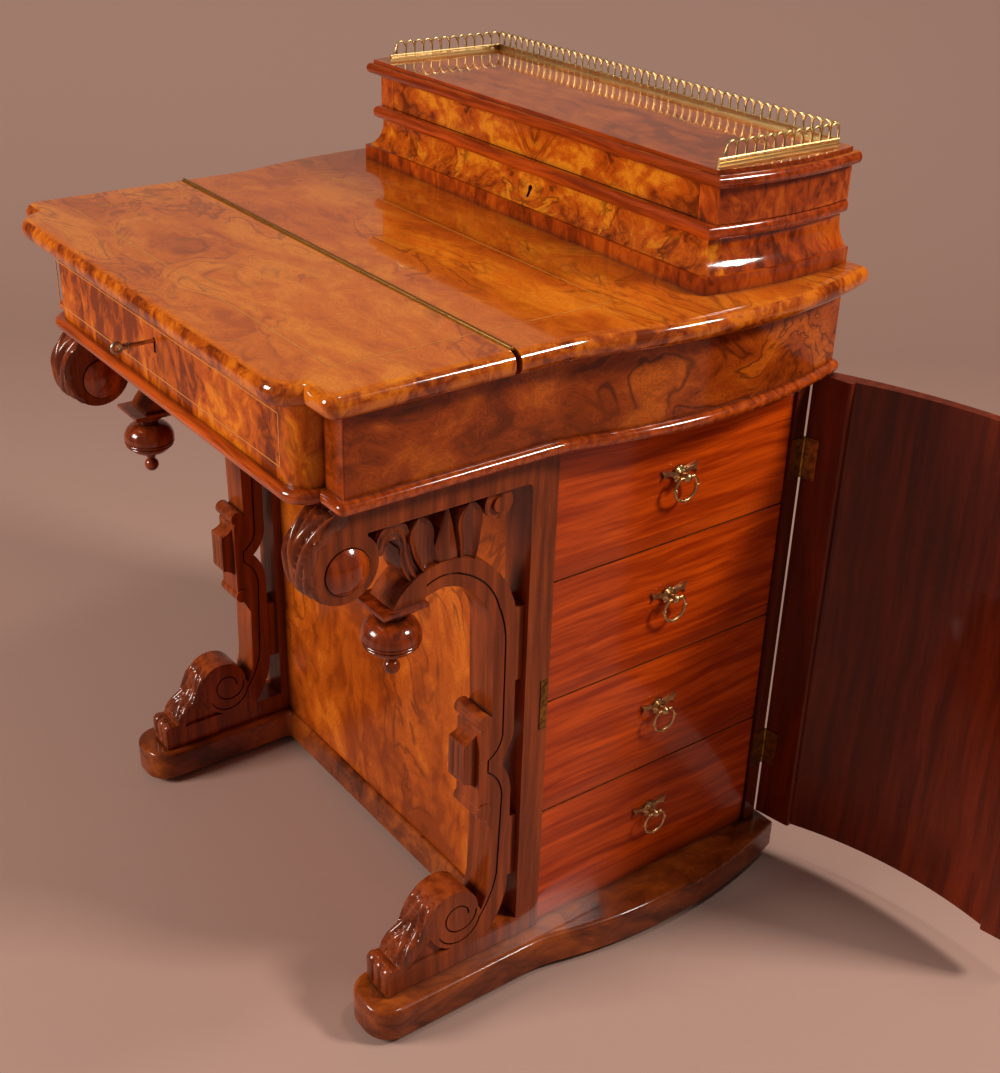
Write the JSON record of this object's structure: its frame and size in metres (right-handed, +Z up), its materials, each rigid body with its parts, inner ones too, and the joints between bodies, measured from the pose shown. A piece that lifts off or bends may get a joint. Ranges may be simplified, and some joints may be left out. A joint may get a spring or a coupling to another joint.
{
  "type": "davenport writing desk",
  "caption": "Davenport writing desk with a fold-over lid over a well, a hinged stationery box with a brass gallery, side drawers behind a bowed door, and fretted scroll brackets.",
  "frame": {"origin": "on the floor, midway between the two brackets, at the depth where the row's Y is zero", "axes": "+X to the side with the drawers and door, +Y to the back, +Z up"},
  "size_m": [0.9279, 0.7029, 0.862],
  "materials": {
    "burr_walnut": "gloss french polish over figured veneer",
    "walnut": "polished solid walnut",
    "mahogany": "satin",
    "brass": "aged, polished on edges",
    "key_steel": "worn"
  },
  "bodies": {
    "carcase": {"plinth": "walnut", "caster_plates": "brass", "front_panel": "burr_walnut", "back_frame": "mahogany", "carcase_floor": "mahogany", "dust_boards": "mahogany", "left_panel": "burr_walnut", "right_bracket": "walnut", "left_bracket": "walnut", "bracket_bosses": "walnut", "pendants": "walnut", "lip_moulding": "walnut", "well_floor": "mahogany", "front_apron": "burr_walnut", "side_aprons": "burr_walnut", "rear_apron": "mahogany", "fixed_top": "burr_walnut", "strip_hinge_fixed_leaf": "brass", "lock_cases": "brass", "box_base": "burr_walnut", "box_front": "burr_walnut", "box_back": "mahogany", "box_ends": "burr_walnut", "box_rail": "walnut", "letter_rack": "mahogany", "box_hinge_fixed_leaves": "brass", "post_butt_leaves": "brass", "door_keep": "brass"},
    "lid": {"writing_lid": "burr_walnut", "strip_hinge_lid_leaf": "brass"},
    "box_lid": {"box_top": "burr_walnut", "box_frieze": "burr_walnut", "box_hinge_lid_leaves": "brass", "gallery": "brass"},
    "door": {"door_board": "burr_walnut", "door_stiles": "mahogany", "door_butt_leaves": "brass", "door_lock": "brass"},
    "key": {"key": "key_steel"},
    "bolt": {"lock_bolt": "brass"},
    "drawer_4": {"drawer_4": "mahogany", "pull_plate_4": "brass"},
    "ring_4": {"pull_ring_4": "brass"},
    "drawer_3": {"drawer_3": "mahogany", "pull_plate_3": "brass"},
    "ring_3": {"pull_ring_3": "brass"},
    "drawer_2": {"drawer_2": "mahogany", "pull_plate_2": "brass"},
    "ring_2": {"pull_ring_2": "brass"},
    "drawer_1": {"drawer_1": "mahogany", "pull_plate_1": "brass"},
    "ring_1": {"pull_ring_1": "brass"},
    "fork_1": {"caster_fork_1": "brass"},
    "wheel_1": {"caster_wheel_1": "brass"},
    "fork_2": {"caster_fork_2": "brass"},
    "wheel_2": {"caster_wheel_2": "brass"},
    "fork_3": {"caster_fork_3": "brass"},
    "wheel_3": {"caster_wheel_3": "brass"},
    "fork_4": {"caster_fork_4": "brass"},
    "wheel_4": {"caster_wheel_4": "brass"}
  },
  "joints": [
    {"name": "door_swing", "type": "hinge", "parent": "carcase", "child": "door", "pos_m": [0.273, 0.2905, 0.33], "axis": [0, 0, 1], "range_deg": [-101, 9]},
    {"name": "lid_fold", "type": "hinge", "parent": "carcase", "child": "lid", "pos_m": [0, -0.116, 0.73], "axis": [-1, 0, 0], "range_deg": [0, 178]},
    {"name": "box_lid_lift", "type": "hinge", "parent": "carcase", "child": "box_lid", "pos_m": [0, 0.3006, 0.825], "axis": [-1, 0, 0], "range_deg": [0, 95]},
    {"name": "key_turn", "type": "hinge", "parent": "carcase", "child": "key", "pos_m": [-0.01, -0.292, 0.672], "axis": [0, 1, 0], "range_deg": [0, 90]},
    {"name": "bolt_throw", "type": "slide", "parent": "carcase", "child": "bolt", "axis": [0, 0, 1], "range_m": [0, 0.008]},
    {"name": "drawer_4_slide", "type": "slide", "parent": "carcase", "child": "drawer_4", "axis": [1, 0, 0], "range_m": [0, 0.36]},
    {"name": "ring_4_swing", "type": "hinge", "parent": "drawer_4", "child": "ring_4", "pos_m": [0.28, 0.1195, 0.13155], "axis": [0, -1, 0], "range_deg": [0, 80]},
    {"name": "drawer_3_slide", "type": "slide", "parent": "carcase", "child": "drawer_3", "axis": [1, 0, 0], "range_m": [0, 0.36]},
    {"name": "ring_3_swing", "type": "hinge", "parent": "drawer_3", "child": "ring_3", "pos_m": [0.28, 0.1195, 0.26805], "axis": [0, -1, 0], "range_deg": [0, 80]},
    {"name": "drawer_2_slide", "type": "slide", "parent": "carcase", "child": "drawer_2", "axis": [1, 0, 0], "range_m": [0, 0.36]},
    {"name": "ring_2_swing", "type": "hinge", "parent": "drawer_2", "child": "ring_2", "pos_m": [0.28, 0.1195, 0.40455], "axis": [0, -1, 0], "range_deg": [0, 80]},
    {"name": "drawer_1_slide", "type": "slide", "parent": "carcase", "child": "drawer_1", "axis": [1, 0, 0], "range_m": [0, 0.36]},
    {"name": "ring_1_swing", "type": "hinge", "parent": "drawer_1", "child": "ring_1", "pos_m": [0.28, 0.1195, 0.54105], "axis": [0, -1, 0], "range_deg": [0, 80]},
    {"name": "caster_1_swivel", "type": "hinge", "parent": "carcase", "child": "fork_1", "pos_m": [-0.259, -0.205, 0.034], "axis": [0, 0, 1], "continuous": true},
    {"name": "wheel_1_spin", "type": "hinge", "parent": "fork_1", "child": "wheel_1", "pos_m": [-0.259, -0.196, 0.011], "axis": [1, 0, 0], "continuous": true},
    {"name": "caster_2_swivel", "type": "hinge", "parent": "carcase", "child": "fork_2", "pos_m": [0.259, -0.205, 0.034], "axis": [0, 0, 1], "continuous": true},
    {"name": "wheel_2_spin", "type": "hinge", "parent": "fork_2", "child": "wheel_2", "pos_m": [0.259, -0.196, 0.011], "axis": [1, 0, 0], "continuous": true},
    {"name": "caster_3_swivel", "type": "hinge", "parent": "carcase", "child": "fork_3", "pos_m": [-0.259, 0.262, 0.034], "axis": [0, 0, 1], "continuous": true},
    {"name": "wheel_3_spin", "type": "hinge", "parent": "fork_3", "child": "wheel_3", "pos_m": [-0.259, 0.271, 0.011], "axis": [1, 0, 0], "continuous": true},
    {"name": "caster_4_swivel", "type": "hinge", "parent": "carcase", "child": "fork_4", "pos_m": [0.259, 0.262, 0.034], "axis": [0, 0, 1], "continuous": true},
    {"name": "wheel_4_spin", "type": "hinge", "parent": "fork_4", "child": "wheel_4", "pos_m": [0.259, 0.271, 0.011], "axis": [1, 0, 0], "continuous": true}
  ],
  "couplings": [
    {"joint": "key_turn", "follows": "bolt_throw", "rad_per_m": 196.35}
  ]
}
